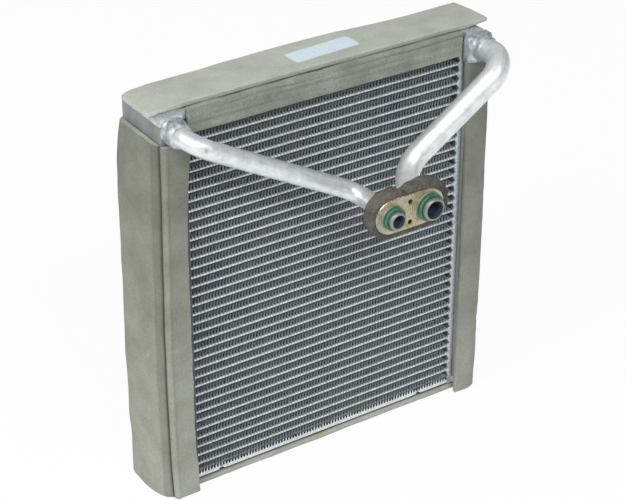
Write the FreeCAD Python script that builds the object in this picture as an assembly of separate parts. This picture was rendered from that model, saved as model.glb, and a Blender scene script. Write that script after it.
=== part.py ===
import FreeCAD, Part
import math
import os

# Evaporator core of a car air conditioner, in millimetres.
# X runs across the core, Y to the back and Z up, and the origin is under the middle of the core.

# Core of flat tubes and corrugated fins
core_width = 211.0
core_depth = 40.0
tube_count = 38
tube_pitch = 7.0
tube_height = 1.8
tube_wall = 0.35
fin_legs = 26
fin_thickness = 0.3
fin_end_gap = 3.5
braze_overlap = 0.05
braze_gap = 0.05

# Side plates above and below the core
side_plate_thickness = 1.5
bottom_flange_height = 4.9
top_flange_height = 3.2

# Header plates, tanks and their end caps
# The tanks stand out past the core by a step at the front and at the back
header_thickness = 1.8
header_lip_reach = 3.5
header_lip_thickness = 1.0
slot_margin = 0.2
tank_width = 20.0
tank_step = 4.5
tank_wall = 2.0
tank_web = 2.0
tank_corner_radius = 1.5
cap_thickness = 5.5
cap_edge_radius = 5.0

# Pipes, given by the corners of their centre lines
# A socket sits an inset out from the header face and a drop below the top of the tank
# The two corners lie a standoff in front of the tank
inlet_pipe_diameter = 12.7
inlet_pipe_wall = 1.75
inlet_socket_inset = 10.3
inlet_socket_drop = 10.3
inlet_first_standoff = 24.0
inlet_second_standoff = 20.7
inlet_first_bend = 14.9
inlet_second_bend = 13.3
outlet_pipe_diameter = 15.88
outlet_pipe_wall = 1.69
outlet_socket_inset = 11.0
outlet_socket_drop = 9.2
outlet_first_standoff = 34.1
outlet_second_standoff = 21.5
outlet_first_bend = 15.1
outlet_second_bend = 23.2
pipe_clearance = 0.05

# Sockets that the pipes are brazed into, with their walls measured from the pipe
# The outlet's collar stands on a block that is level with the outer side of the tank
inlet_collar_wall = 2.45
inlet_collar_length = 8.5
outlet_collar_wall = 1.0
outlet_collar_length = 13.0
collar_edge_chamfer = 0.6
socket_block_depth = 6.5
socket_block_outer_wall = 1.0
socket_block_inner_wall = 1.5
socket_block_lower_wall = 2.8
socket_block_corner = 2.5

# Stub ends, their beads and their sealing rings
port_drop = 78.8
inlet_port_x = 5.5
port_spacing = 28.3
port_standoff = 69.5
stub_chamfer = 0.85
ring_section = 2.4
ring_setback = 3.2
ring_groove_depth = 0.75
ring_groove_margin = 0.2
bead_width = 1.8
bead_height = 2.1

# Connection block between the stub ends, with its walls measured from the pipes, and its foam ring
block_depth = 11.0
inlet_block_wall = 6.15
outlet_block_wall = 4.36
block_edge_chamfer = 0.6
bolt_hole_radius = 1.7
bolt_hole_spacing = 14.6
bolt_hole_offset = 13.8
seal_thickness = 3.8
seal_setback = 0.8
seal_depth = 9.0
seal_slit = 0.5
seal_slit_offset = 11.5

# Foam seals, each one sheet of foam folded or laid on the metal
foam_clearance = 0.3
side_foam_thickness = 3.8
left_foam_drop = 16.8
right_foam_gap = 0.36
side_foam_corner = 4.5
left_foam_bulge = 4.4
left_lip_fall = 6.0
left_lip_edge_at_bottom = 3.3
left_lip_edge_at_middle = 5.9
left_lip_edge_at_top = 1.5
right_foam_bulge = 0.9
right_lip_edge_at_bottom = 1.9
right_lip_edge_at_middle = 3.1
right_lip_edge_at_top = 3.4
bottom_foam_thickness = 4.7
top_foam_thickness = 3.5
top_foam_left_overhang = 3.5
top_foam_right_overhang = 6.8
top_foam_front_setback = 2.5
top_foam_back_overhang = 0.5
top_foam_corner = 3.0
front_foam_thickness = 4.0
front_foam_drop = 15.5
front_foam_rise = 2.0

# Label on the top sheet
label_length = 50.0
label_width = 15.0
label_thickness = 0.2
label_x = 8.9
label_y = -0.2
label_turn = 2.5

# Sizes that follow from the values above
header_face_x = core_width / 2
header_back_x = header_face_x + header_thickness
header_lip_x = header_face_x + header_lip_reach
header_inner_half = core_depth / 2 + slot_margin
header_outer_half = header_inner_half + header_lip_thickness
tank_outer_x = header_face_x + tank_width
tank_half = core_depth / 2 + tank_step
tank_front_y = -tank_half
fin_row_height = tube_pitch - tube_height
tank_bottom_z = bottom_foam_thickness + foam_clearance
bottom_plate_z = tank_bottom_z + bottom_flange_height
first_tube_z = bottom_plate_z + fin_row_height + tube_height / 2
top_plate_z = bottom_plate_z + fin_row_height + tube_count * tube_pitch
tank_top_z = top_plate_z + top_flange_height
inlet_socket_x = -(header_face_x + inlet_socket_inset)
inlet_socket_z = tank_top_z - inlet_socket_drop
outlet_socket_x = header_face_x + outlet_socket_inset
outlet_socket_z = tank_top_z - outlet_socket_drop
outlet_port_x = inlet_port_x + port_spacing
port_z = tank_top_z - port_drop
port_face_y = tank_front_y - port_standoff
inlet_pipe_bore = inlet_pipe_diameter - 2 * inlet_pipe_wall
outlet_pipe_bore = outlet_pipe_diameter - 2 * outlet_pipe_wall
inlet_block_radius = inlet_pipe_diameter / 2 + inlet_block_wall
outlet_block_radius = outlet_pipe_diameter / 2 + outlet_block_wall
ring_y = port_face_y + ring_setback + ring_section / 2
bead_front_y = ring_y + ring_section / 2
ring_groove_y = ring_y - ring_section / 2 - ring_groove_margin
block_front_y = bead_front_y + bead_width
left_foam_height = tank_top_z - left_foam_drop
socket_block_low_z = outlet_socket_z - outlet_pipe_diameter / 2 - socket_block_lower_wall
right_foam_height = socket_block_low_z - right_foam_gap


def vec(x, y, z):
    return FreeCAD.Vector(x, y, z)


def box(x0, x1, y0, y1, z0, z1):
    return Part.makeBox(x1 - x0, y1 - y0, z1 - z0, vec(x0, y0, z0))


def rod(radius, x, z, y0, y1):
    """A round rod along Y from y0 to y1."""
    return Part.makeCylinder(radius, y1 - y0, vec(x, y0, z), vec(0, 1, 0))


def rounded_wire(corners, radii):
    """A closed outline through the corners, each rounded by an arc of its own radius."""
    edges = []
    ends = []
    count = len(corners)
    for i in range(count):
        corner = corners[i]
        back = (corners[i - 1] - corner).normalize()
        ahead = (corners[(i + 1) % count] - corner).normalize()
        radius = radii[i]
        if radius <= 0:
            ends.append((corner, corner))
            continue
        half = back.getAngle(ahead) / 2
        reach = radius / math.tan(half)
        start = corner + back * reach
        stop = corner + ahead * reach
        middle = corner + (back + ahead).normalize() * (radius / math.sin(half) - radius)
        edges.append((i, Part.Arc(start, middle, stop).toShape()))
        ends.append((start, stop))
    arcs = dict(edges)
    outline = []
    for i in range(count):
        if i in arcs:
            outline.append(arcs[i])
        here = ends[i][1]
        there = ends[(i + 1) % count][0]
        if (there - here).Length > 1e-6:
            outline.append(Part.makeLine(here, there))
    return Part.Wire(outline)


def flat_tube(z):
    """Flat tube with rounded edges and two channels, one for each chamber of the tanks."""
    half = core_depth / 2
    radius = tube_height / 2
    y = half - radius
    x = -header_back_x
    outline = Part.Wire([
        Part.makeLine(vec(x, -y, z - radius), vec(x, y, z - radius)),
        Part.Arc(vec(x, y, z - radius), vec(x, half, z), vec(x, y, z + radius)).toShape(),
        Part.makeLine(vec(x, y, z + radius), vec(x, -y, z + radius)),
        Part.Arc(vec(x, -y, z + radius), vec(x, -half, z), vec(x, -y, z - radius)).toShape(),
    ])
    tube = Part.Face(outline).extrude(vec(2 * header_back_x, 0, 0))
    inner = radius - tube_wall
    front = box(x, -x, -y, -tank_web / 2, z - inner, z + inner)
    back = box(x, -x, tank_web / 2, y, z - inner, z + inner)
    return tube.cut(Part.makeCompound([front, back]))


def fin_strip(z):
    """Corrugated ribbon that stands on the surface at height z and ends just under the next tube."""
    half = header_face_x - fin_end_gap
    depth = core_depth - tube_height
    step = 2 * half / fin_legs
    low = z - braze_overlap
    high = z + fin_row_height - braze_gap - fin_thickness
    under = []
    over = []
    for i in range(fin_legs + 1):
        height = low if i % 2 == 0 else high
        under.append(vec(-half + i * step, -depth / 2, height))
        over.append(vec(-half + i * step, -depth / 2, height + fin_thickness))
    ribbon = Part.makePolygon(under + over[::-1] + under[:1])
    return Part.Face(ribbon).extrude(vec(0, depth, 0))


def tube_and_fin():
    """Lowest tube with the fin strip that is brazed on it."""
    return flat_tube(first_tube_z).fuse(fin_strip(first_tube_z + tube_height / 2))


def side_plate(web_z, flange_z):
    """Channel across the core, with its web against the fins and its flanges turned away from them."""
    low = min(web_z, flange_z)
    high = max(web_z, flange_z)
    half = core_depth / 2
    plate = box(-header_face_x, header_face_x, -half, half, low, high)
    inside = half - side_plate_thickness
    if flange_z < web_z:
        hollow = box(-header_face_x, header_face_x, -inside, inside, low, high - side_plate_thickness)
    else:
        hollow = box(-header_face_x, header_face_x, -inside, inside, low + side_plate_thickness, high)
    return plate.cut(hollow)


def bottom_side_plate():
    channel = side_plate(bottom_plate_z, bottom_plate_z - bottom_flange_height)
    return channel.fuse(fin_strip(bottom_plate_z))


def top_side_plate():
    return side_plate(top_plate_z, top_plate_z + top_flange_height)


def across(side, near, far, y0, y1, z0, z1):
    """Box between two distances from the middle of the core, on the left or on the right."""
    return box(min(side * near, side * far), max(side * near, side * far), y0, y1, z0, z1)


def header_plate(side):
    """Channel with one slot for each tube, whose lips end against the shoulders of the tank."""
    low = tank_bottom_z + cap_thickness
    high = tank_top_z - cap_thickness
    plate = across(side, header_face_x, header_lip_x, -header_outer_half, header_outer_half, low, high)
    hollow = across(side, header_back_x, header_lip_x, -header_inner_half, header_inner_half, low, high)
    plate = plate.cut(hollow)
    slots = []
    half = core_depth / 2 + braze_gap
    rise = tube_height / 2 + braze_gap
    for i in range(tube_count):
        z = first_tube_z + i * tube_pitch
        slots.append(across(side, header_face_x, header_back_x, -half, half, z - rise, z + rise))
    return plate.cut(Part.makeCompound(slots))


def rounded_bar(side, near, far, half, radius, z, height):
    """Upright bar between two distances from the middle, its two outer edges rounded."""
    corners = [vec(side * near, -half, z), vec(side * far, -half, z),
               vec(side * far, half, z), vec(side * near, half, z)]
    return Part.Face(rounded_wire(corners, [0, radius, radius, 0])).extrude(vec(0, 0, height))


def port(bore, x, z):
    """Hole from the front of the tank into its front chamber."""
    return rod(bore / 2, x, z, tank_front_y, tank_front_y + 2 * tank_wall)


def tank(side, bore, x, z):
    """Channel with shoulders towards the header plate and a web that parts it into two chambers."""
    low = tank_bottom_z + cap_thickness
    high = tank_top_z - cap_thickness
    body = rounded_bar(side, header_lip_x, tank_outer_x, tank_half, tank_corner_radius, low, high - low)
    hollow = across(side, header_lip_x + tank_wall, tank_outer_x - tank_wall,
                    tank_wall - tank_half, tank_half - tank_wall, low, high)
    mouth = across(side, header_lip_x, header_lip_x + tank_wall, -header_inner_half,
                   header_inner_half, low, high)
    web = across(side, header_back_x, tank_outer_x - tank_wall, -tank_web / 2, tank_web / 2, low, high)
    return body.cut(hollow).cut(mouth).fuse(web).cut(port(bore, x, z)).removeSplitter()


def inlet_tank():
    return tank(-1, inlet_pipe_bore, inlet_socket_x, inlet_socket_z)


def outlet_tank():
    return tank(1, outlet_pipe_bore, outlet_socket_x, outlet_socket_z)


def cap_outline(near, far, seat_z, face_z, radii):
    """Upright face between two points on the ground, with two corners on the seat and two on top."""
    corners = [vec(near.x, near.y, seat_z), vec(far.x, far.y, seat_z),
               vec(far.x, far.y, face_z), vec(near.x, near.y, face_z)]
    return Part.Face(rounded_wire(corners, radii))


def end_cap(z, up):
    """Cap over the end of the right tank and its header plate, rounded down on its outer sides."""
    seat_z, face_z = (z, z + cap_thickness) if up else (z + cap_thickness, z)
    front_in = vec(header_lip_x, -tank_half, 0)
    front_out = vec(tank_outer_x, -tank_half, 0)
    back_in = vec(header_lip_x, tank_half, 0)
    from_front = cap_outline(front_in, front_out, seat_z, face_z, [0, 0, cap_edge_radius, 0])
    from_side = cap_outline(front_in, back_in, seat_z, face_z, [0, 0, cap_edge_radius, cap_edge_radius])
    cap = rounded_bar(1, header_lip_x, tank_outer_x, tank_half, tank_corner_radius, z, cap_thickness)
    cap = cap.common(from_front.extrude(back_in - front_in)).common(from_side.extrude(front_out - front_in))
    neck = across(1, header_face_x, header_lip_x, -header_outer_half, header_outer_half,
                  z, z + cap_thickness)
    return cap.fuse(neck)


def on_the_left(shape):
    """The same shape on the other side of the core."""
    return shape.mirror(vec(0, 0, 0), vec(1, 0, 0))


def bottom_caps():
    cap = end_cap(tank_bottom_z, False)
    return Part.makeCompound([on_the_left(cap), cap])


def top_caps():
    """Both top caps, with a notch for the part of each port that reaches into them."""
    cap = end_cap(tank_top_z - cap_thickness, True)
    left = on_the_left(cap).cut(port(inlet_pipe_bore, inlet_socket_x, inlet_socket_z))
    right = cap.cut(port(outlet_pipe_bore, outlet_socket_x, outlet_socket_z))
    return Part.makeCompound([left, right])


def collar(x, z, diameter, wall, length):
    """Round collar on the front of the tank, its far edge broken."""
    front = tank_front_y - length
    ring = rod(diameter / 2 + wall, x, z, front, tank_front_y)
    tip = [e for e in ring.Edges if e.BoundBox.YMax < front + 1e-3]
    return ring.makeChamfer(collar_edge_chamfer, tip)


def pipe_seat(x, z, diameter, length):
    """Hole that the pipe is brazed into."""
    return rod(diameter / 2 + pipe_clearance, x, z, tank_front_y - length, tank_front_y)


def socket_block():
    """Rounded block on the front of the right tank, round the outlet pipe."""
    radius = outlet_pipe_diameter / 2
    inner_x = outlet_socket_x - radius - socket_block_inner_wall
    outer_x = outlet_socket_x + radius + socket_block_outer_wall
    low, high = socket_block_low_z, outlet_socket_z + radius + socket_block_outer_wall
    y = tank_front_y - socket_block_depth
    corners = [vec(inner_x, y, low), vec(outer_x, y, low), vec(outer_x, y, high), vec(inner_x, y, high)]
    return Part.Face(rounded_wire(corners, [socket_block_corner] * 4)).extrude(vec(0, socket_block_depth, 0))


def inlet_socket():
    ring = collar(inlet_socket_x, inlet_socket_z, inlet_pipe_diameter, inlet_collar_wall,
                  inlet_collar_length)
    return ring.cut(pipe_seat(inlet_socket_x, inlet_socket_z, inlet_pipe_diameter, inlet_collar_length))


def outlet_socket():
    ring = collar(outlet_socket_x, outlet_socket_z, outlet_pipe_diameter, outlet_collar_wall,
                  outlet_collar_length)
    seat = pipe_seat(outlet_socket_x, outlet_socket_z, outlet_pipe_diameter, outlet_collar_length)
    return ring.fuse(socket_block()).cut(seat)


def bent_path(points, radii):
    """Centre line through the points, with an arc of the given radius at each corner between them."""
    edges = []
    here = points[0]
    for i in range(1, len(points) - 1):
        back = (points[i - 1] - points[i]).normalize()
        ahead = (points[i + 1] - points[i]).normalize()
        half = back.getAngle(ahead) / 2
        reach = radii[i - 1] / math.tan(half)
        start = points[i] + back * reach
        stop = points[i] + ahead * reach
        rise = radii[i - 1] / math.sin(half) - radii[i - 1]
        middle = points[i] + (back + ahead).normalize() * rise
        edges.append(Part.makeLine(here, start))
        edges.append(Part.Arc(start, middle, stop).toShape())
        here = stop
    edges.append(Part.makeLine(here, points[-1]))
    return Part.Wire(edges)


def swept_rod(path, start, radius):
    ring = Part.Wire([Part.Circle(start, vec(0, -1, 0), radius).toShape()])
    return path.makePipeShell([ring], True, False)


def pipe(socket_x, socket_z, standoffs, port_x, bends, diameter, bore):
    """Bent pipe from the tank's front to the stub end, with a bead that rests on the connection block."""
    start = vec(socket_x, tank_front_y, socket_z)
    points = [start, vec(socket_x, tank_front_y - standoffs[0], socket_z),
              vec(port_x, tank_front_y - standoffs[1], port_z), vec(port_x, port_face_y, port_z)]
    path = bent_path(points, bends)
    body = swept_rod(path, start, diameter / 2)
    bead = rod(diameter / 2 + bead_height, port_x, port_z, bead_front_y, block_front_y)
    tip = [e for e in body.Edges if e.BoundBox.YMax < port_face_y + 1e-3]
    body = body.makeChamfer(stub_chamfer, tip)
    groove = rod(diameter / 2 + ring_section, port_x, port_z, ring_groove_y, bead_front_y)
    groove = groove.cut(rod(diameter / 2 - ring_groove_depth, port_x, port_z, ring_groove_y, bead_front_y))
    return body.cut(groove).fuse(bead).cut(swept_rod(path, start, bore / 2))


def inlet_pipe():
    return pipe(inlet_socket_x, inlet_socket_z, [inlet_first_standoff, inlet_second_standoff],
                inlet_port_x, [inlet_first_bend, inlet_second_bend], inlet_pipe_diameter,
                inlet_pipe_bore)


def outlet_pipe():
    return pipe(outlet_socket_x, outlet_socket_z, [outlet_first_standoff, outlet_second_standoff],
                outlet_port_x, [outlet_first_bend, outlet_second_bend], outlet_pipe_diameter,
                outlet_pipe_bore)


def sealing_ring(port_x, diameter):
    """Ring that lies in the groove in front of the bead."""
    centre = vec(port_x, ring_y, port_z)
    groove_radius = diameter / 2 - ring_groove_depth + pipe_clearance
    return Part.makeTorus(groove_radius + ring_section / 2, ring_section / 2, centre, vec(0, 1, 0))


def oblong(inlet_radius, outlet_radius, y, depth):
    """Solid whose outline wraps the two ports: a circle round each and the two tangents between."""
    lean = math.asin((outlet_radius - inlet_radius) / port_spacing)
    rise = math.cos(lean)
    run = -math.sin(lean)
    top_in = vec(inlet_port_x + run * inlet_radius, y, port_z + rise * inlet_radius)
    top_out = vec(outlet_port_x + run * outlet_radius, y, port_z + rise * outlet_radius)
    low_in = vec(top_in.x, y, 2 * port_z - top_in.z)
    low_out = vec(top_out.x, y, 2 * port_z - top_out.z)
    outline = Part.Wire([
        Part.makeLine(top_in, top_out),
        Part.Arc(top_out, vec(outlet_port_x + outlet_radius, y, port_z), low_out).toShape(),
        Part.makeLine(low_out, low_in),
        Part.Arc(low_in, vec(inlet_port_x - inlet_radius, y, port_z), top_in).toShape(),
    ])
    return Part.Face(outline).extrude(vec(0, depth, 0))


def connection_block():
    """Oblong block on the two stub ends, with two small bolt holes between them."""
    block = oblong(inlet_block_radius, outlet_block_radius, block_front_y, block_depth)
    rim = [e for e in block.Edges if e.BoundBox.YMax < block_front_y + 1e-3]
    block = block.makeChamfer(block_edge_chamfer, rim)
    ends = (block_front_y - 1, block_front_y + block_depth + 1)
    holes = [
        rod(inlet_pipe_diameter / 2 + pipe_clearance, inlet_port_x, port_z, *ends),
        rod(outlet_pipe_diameter / 2 + pipe_clearance, outlet_port_x, port_z, *ends),
    ]
    bolt_x = inlet_port_x + bolt_hole_offset
    for z in (port_z - bolt_hole_spacing / 2, port_z + bolt_hole_spacing / 2):
        holes.append(rod(bolt_hole_radius, bolt_x, z, *ends))
    return block.cut(Part.makeCompound(holes))


def block_seal():
    """Foam strip wrapped once round the block, its two ends meeting at the top."""
    y = block_front_y + seal_setback
    inside = foam_clearance
    outside = foam_clearance + seal_thickness
    band = oblong(inlet_block_radius + outside, outlet_block_radius + outside, y, seal_depth)
    hole = oblong(inlet_block_radius + inside, outlet_block_radius + inside, y, seal_depth)
    slit_x = inlet_port_x + seal_slit_offset
    top = port_z + outlet_block_radius + outside
    slit = box(slit_x - seal_slit / 2, slit_x + seal_slit / 2, y, y + seal_depth, port_z, top)
    return band.cut(hole).cut(slit)


def wrap_section(side, z, edge, bulge):
    """Outline at height z of a foam sheet folded round a tank, front lip, side panel and back lip."""
    lip_edge = header_face_x + edge
    inner_y = tank_half + foam_clearance
    outer_y = inner_y + side_foam_thickness
    inner_x = tank_outer_x + foam_clearance + bulge
    outer_x = inner_x + side_foam_thickness
    points = [(lip_edge, -outer_y, 0), (outer_x, -outer_y, side_foam_corner),
              (outer_x, outer_y, side_foam_corner), (lip_edge, outer_y, 0),
              (lip_edge, inner_y, 0), (inner_x, inner_y, 0),
              (inner_x, -inner_y, 0), (lip_edge, -inner_y, 0)]
    corners = [vec(side * x, y, z) for x, y, r in points]
    return rounded_wire(corners, [r for x, y, r in points])


def lip_wedge():
    """What is cut from the top of the left front lip, so that it falls towards the core."""
    y = -(tank_half + foam_clearance + side_foam_thickness)
    outer = vec(-(tank_outer_x + side_foam_thickness), y, left_foam_height)
    inner = vec(-header_face_x, y, left_foam_height)
    low = vec(-header_face_x, y, left_foam_height - left_lip_fall)
    return Part.Face(Part.makePolygon([outer, inner, low, outer])).extrude(vec(0, -tank_half - y, 0))


def left_foam():
    """Folded foam on the left tank, bowed outwards above the middle."""
    sections = [
        wrap_section(-1, 0, left_lip_edge_at_bottom, left_foam_bulge * 0.2),
        wrap_section(-1, left_foam_height * 0.2, left_lip_edge_at_middle, left_foam_bulge * 0.5),
        wrap_section(-1, left_foam_height * 0.75, left_lip_edge_at_middle, left_foam_bulge),
        wrap_section(-1, left_foam_height, left_lip_edge_at_top, 0),
    ]
    return Part.makeLoft(sections, True, True).cut(lip_wedge())


def right_foam():
    """Folded foam on the right tank, with lips that widen a little downwards."""
    sections = [
        wrap_section(1, 0, right_lip_edge_at_bottom, 0),
        wrap_section(1, right_foam_height * 0.4, right_lip_edge_at_middle, right_foam_bulge),
        wrap_section(1, right_foam_height, right_lip_edge_at_top, 0),
    ]
    return Part.makeLoft(sections, True, True)


def bottom_foam():
    depth = core_depth / 2
    return box(-tank_outer_x, tank_outer_x, -depth, depth, 0, bottom_foam_thickness)


def top_foam():
    """Top sheet with small rounded corners, longer than the core at both ends."""
    z = tank_top_z + foam_clearance
    left = -tank_outer_x - top_foam_left_overhang
    right = tank_outer_x + top_foam_right_overhang
    front = -core_depth / 2 + top_foam_front_setback
    back = core_depth / 2 + top_foam_back_overhang
    corners = [vec(left, front, z), vec(right, front, z), vec(right, back, z), vec(left, back, z)]
    return Part.Face(rounded_wire(corners, [top_foam_corner] * 4)).extrude(vec(0, 0, top_foam_thickness))


def top_front_foam():
    """Strip in front of the top of the core, between the two tanks."""
    half = header_face_x - foam_clearance
    back = -core_depth / 2 - foam_clearance
    return box(-half, half, back - front_foam_thickness, back, tank_top_z - front_foam_drop,
               tank_top_z + front_foam_rise)


def label():
    z = tank_top_z + foam_clearance + top_foam_thickness
    sticker = box(-label_length / 2, label_length / 2, -label_width / 2, label_width / 2, 0, label_thickness)
    sticker.rotate(vec(0, 0, 0), vec(0, 0, 1), label_turn)
    sticker.translate(vec(label_x, label_y, z))
    return sticker


os.makedirs("parts", exist_ok=True)

row = tube_and_fin()
for number in range(tube_count):
    placed = row.copy()
    placed.translate(vec(0, 0, number * tube_pitch))
    placed.exportStep("parts/tube_and_fin_%02d.step" % (number + 1))

bottom_side_plate().exportStep("parts/bottom_side_plate.step")
top_side_plate().exportStep("parts/top_side_plate.step")
header_plate(-1).exportStep("parts/left_header_plate.step")
header_plate(1).exportStep("parts/right_header_plate.step")
inlet_tank().exportStep("parts/left_tank.step")
outlet_tank().exportStep("parts/right_tank.step")
bottom_caps().exportStep("parts/bottom_caps.step")
top_caps().exportStep("parts/top_caps.step")
inlet_socket().exportStep("parts/left_socket.step")
outlet_socket().exportStep("parts/right_socket.step")
inlet_pipe().exportStep("parts/inlet_pipe.step")
outlet_pipe().exportStep("parts/outlet_pipe.step")
sealing_ring(inlet_port_x, inlet_pipe_diameter).exportStep("parts/inlet_o_ring.step")
sealing_ring(outlet_port_x, outlet_pipe_diameter).exportStep("parts/outlet_o_ring.step")
connection_block().exportStep("parts/connection_block.step")
block_seal().exportStep("parts/block_seal.step")
left_foam().exportStep("parts/left_foam.step")
right_foam().exportStep("parts/right_foam.step")
bottom_foam().exportStep("parts/bottom_foam.step")
top_foam().exportStep("parts/top_foam.step")
top_front_foam().exportStep("parts/top_front_foam.step")
label().exportStep("parts/label.step")
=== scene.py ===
# %% [markdown]
# # Evaporator core
#
# The heat exchanger that cools the air in a car: thirty-eight flat aluminium tubes between two
# tanks, with a folded fin between each pair, two bent pipes that bring the refrigerant in and out
# through one block, and strips of grey foam that close the gaps round it.
#
# The CAD model is loaded first and never moves. Every piece lies where its solid lies, so sizes are
# written in millimetres, as in the CAD source, and turned into metres in one place.

# %% Load the frame
import math
from functools import partial

import bpy
import numpy as np
from mathutils import Matrix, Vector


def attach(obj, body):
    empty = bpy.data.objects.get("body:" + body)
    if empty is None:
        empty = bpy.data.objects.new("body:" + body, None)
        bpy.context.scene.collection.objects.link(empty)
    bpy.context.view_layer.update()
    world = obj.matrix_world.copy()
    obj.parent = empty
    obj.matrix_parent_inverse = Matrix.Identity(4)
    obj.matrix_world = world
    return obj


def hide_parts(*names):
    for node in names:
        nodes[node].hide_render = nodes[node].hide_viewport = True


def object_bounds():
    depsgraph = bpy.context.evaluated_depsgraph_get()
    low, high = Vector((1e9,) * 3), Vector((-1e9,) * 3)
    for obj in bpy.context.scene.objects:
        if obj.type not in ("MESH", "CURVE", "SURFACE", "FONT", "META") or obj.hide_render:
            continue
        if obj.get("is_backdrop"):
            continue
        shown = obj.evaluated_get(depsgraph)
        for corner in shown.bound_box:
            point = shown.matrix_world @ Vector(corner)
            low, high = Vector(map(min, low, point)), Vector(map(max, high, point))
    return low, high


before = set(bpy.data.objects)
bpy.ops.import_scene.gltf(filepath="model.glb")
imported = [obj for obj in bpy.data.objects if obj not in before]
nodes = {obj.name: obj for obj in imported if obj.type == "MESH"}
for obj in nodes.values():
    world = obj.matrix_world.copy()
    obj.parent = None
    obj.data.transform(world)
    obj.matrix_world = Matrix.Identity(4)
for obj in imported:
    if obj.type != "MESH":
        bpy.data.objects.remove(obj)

cad_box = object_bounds()
print(len(nodes), "solids, box", [[round(c, 4) for c in corner] for corner in cad_box])

# %% [markdown]
# ## Turning arrays into meshes
#
# A new piece is a surface: a grid of points worked out as whole arrays. A closed shell whose volume
# comes out negative is inside out, so its faces are turned.

# %% Mesh helpers
MM = 0.001


def joined(*parts):
    """Arrays and numbers stretched to one shape and laid side by side in a new last axis."""
    return np.stack(np.broadcast_arrays(*parts), -1)


def grid_faces(rows, columns, wrap=True, closed=False):
    """Quads of a grid: each joins a point, its neighbour in the row and the two after them.
    With wrap the last column joins the first, and with closed the last row joins the first."""
    r = np.arange(rows if closed else rows - 1)[:, None] * columns
    s = (r + columns) % (rows * columns)
    c = np.arange(columns if wrap else columns - 1)
    d = (c + 1) % columns
    return joined(r + c, r + d, s + d, s + c).reshape(-1, 4)


def circle(count):
    """Angles of a full turn in even steps."""
    return np.linspace(0, 2 * np.pi, count, endpoint=False)


def end_faces(rows, columns):
    """The two faces that close a grid of rings at its first and its last row."""
    ring = np.arange(columns)
    return np.array([ring[::-1], ring + (rows - 1) * columns])


def new_object(name, data):
    """An object in the scene that carries a mesh, a lamp or a camera."""
    thing = bpy.data.objects.new(name, data)
    bpy.context.scene.collection.objects.link(thing)
    return thing


def add_piece(name, points, groups, materials, node, choice=None, angle=35, uv=None,
              shade_and_scars=None):
    """A mesh piece in place of a node, from points in millimetres and arrays of faces. choice numbers
    each face's material, uv gives each point a place in millimetres and crease a share of darkness:
    painted shade on the foams, a darker crushed band beside each fold, and dark scratches on the
    pipes.
    Edges sharper than the angle stay sharp."""
    points = np.asarray(points, float).reshape(-1, 3)
    shells = [points[g] for g in groups]
    # Six times the volume: a face's first corner dotted with the sum of its corners' cross products
    if sum((s[:, 0] * np.cross(s, np.roll(s, -1, 1)).sum(1)).sum() for s in shells) < 0:
        groups = [g[:, ::-1] for g in groups]
    mesh = bpy.data.meshes.new(name)
    mesh.from_pydata((points * MM).tolist(), [], [row for g in groups for row in g.tolist()])
    for m in materials:
        mesh.materials.append(m)
    if choice is not None:
        mesh.polygons.foreach_set("material_index", np.asarray(choice, np.int32))
    if uv is not None:
        corner = np.empty(len(mesh.loops), np.int32)
        mesh.loops.foreach_get("vertex_index", corner)
        layer = mesh.uv_layers.new(name="surface")
        layer.data.foreach_set("uv", np.asarray(uv, np.float32).reshape(-1, 2)[corner].ravel() * MM)
    if shade_and_scars is not None:
        mesh.attributes.new("shade_and_scars", "FLOAT", "POINT").data.foreach_set("value", np.ravel(shade_and_scars))
    mesh.polygons.foreach_set("use_smooth", np.ones(len(mesh.polygons), bool))
    mesh.set_sharp_from_angle(angle=math.radians(angle))
    mesh.update()
    piece = new_object(name, mesh)
    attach(piece, "root")
    if node:
        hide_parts(node)
    return piece


def report(*pieces):
    """Prints the name of each piece and the number of its faces."""
    print(", ".join("%s: %d faces" % (piece.name, len(piece.data.polygons)) for piece in pieces))


def ripple(x, y, seed, size):
    """Smooth uneven field of about -1 to 1: six sine waves in seeded directions, whose wavelengths
    lie round the size."""
    rng = np.random.default_rng(seed)
    total = 0.0
    for _ in range(6):
        turn, phase = rng.uniform(0, 2 * np.pi, 2)
        k = 2 * np.pi / (size * rng.uniform(0.7, 1.6))
        total = total + np.sin(k * (x * np.cos(turn) + y * np.sin(turn)) + phase)
    return total / 3.2


def hump(x, middle, width):
    """Bell curve: 1 at the middle, falling to a third at one width from it."""
    return np.exp(-((x - middle) / width) ** 2)


# %% [markdown]
# ## Materials
#
# Colours are picked as sRGB hex values, and one function turns them to the linear light that shaders
# work in. Another adds a node with its links, so each material reads as the list of its nodes.
# Patterns are set by a real size in millimetres.

# %% Colour and node helpers
# A Mix node of colours takes its share at input 0 and its two colours at inputs 6 and 7
BLENDED = {"data_type": "RGBA"}
MULTIPLIED = BLENDED | {"blend_type": "MULTIPLY"}


def linear(hex_colour):
    """sRGB hex to linear red, green, blue and alpha, by the standard's two-part curve."""
    srgb = np.array([int(hex_colour[i:i + 2], 16) / 255 for i in (1, 3, 5)])
    low, high = srgb / 12.92, ((srgb + 0.055) / 1.055) ** 2.4
    return (*np.where(srgb <= 0.04045, low, high), 1.0)


def add_node(tree, kind, inputs, stops=(), **settings):
    """Adds a node with its properties, its colour stops as (place, hex) and its inputs, each of
    which takes a node, a socket, a hex colour or a plain value."""
    node = tree.nodes.new("ShaderNode" + kind)
    for key, value in settings.items():
        setattr(node, key, value)
    for i, (place, colour) in enumerate(stops):
        elements = node.color_ramp.elements
        element = elements[i] if i < len(elements) else elements.new(place)
        element.position, element.color = place, linear(colour)
    for key, value in inputs.items():
        if isinstance(value, bpy.types.Node):
            value = next(output for output in value.outputs if output.enabled)
        if isinstance(value, bpy.types.NodeSocket):
            tree.links.new(value, node.inputs[key])
        else:
            node.inputs[key].default_value = linear(value) if isinstance(value, str) else value
    return node


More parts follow.
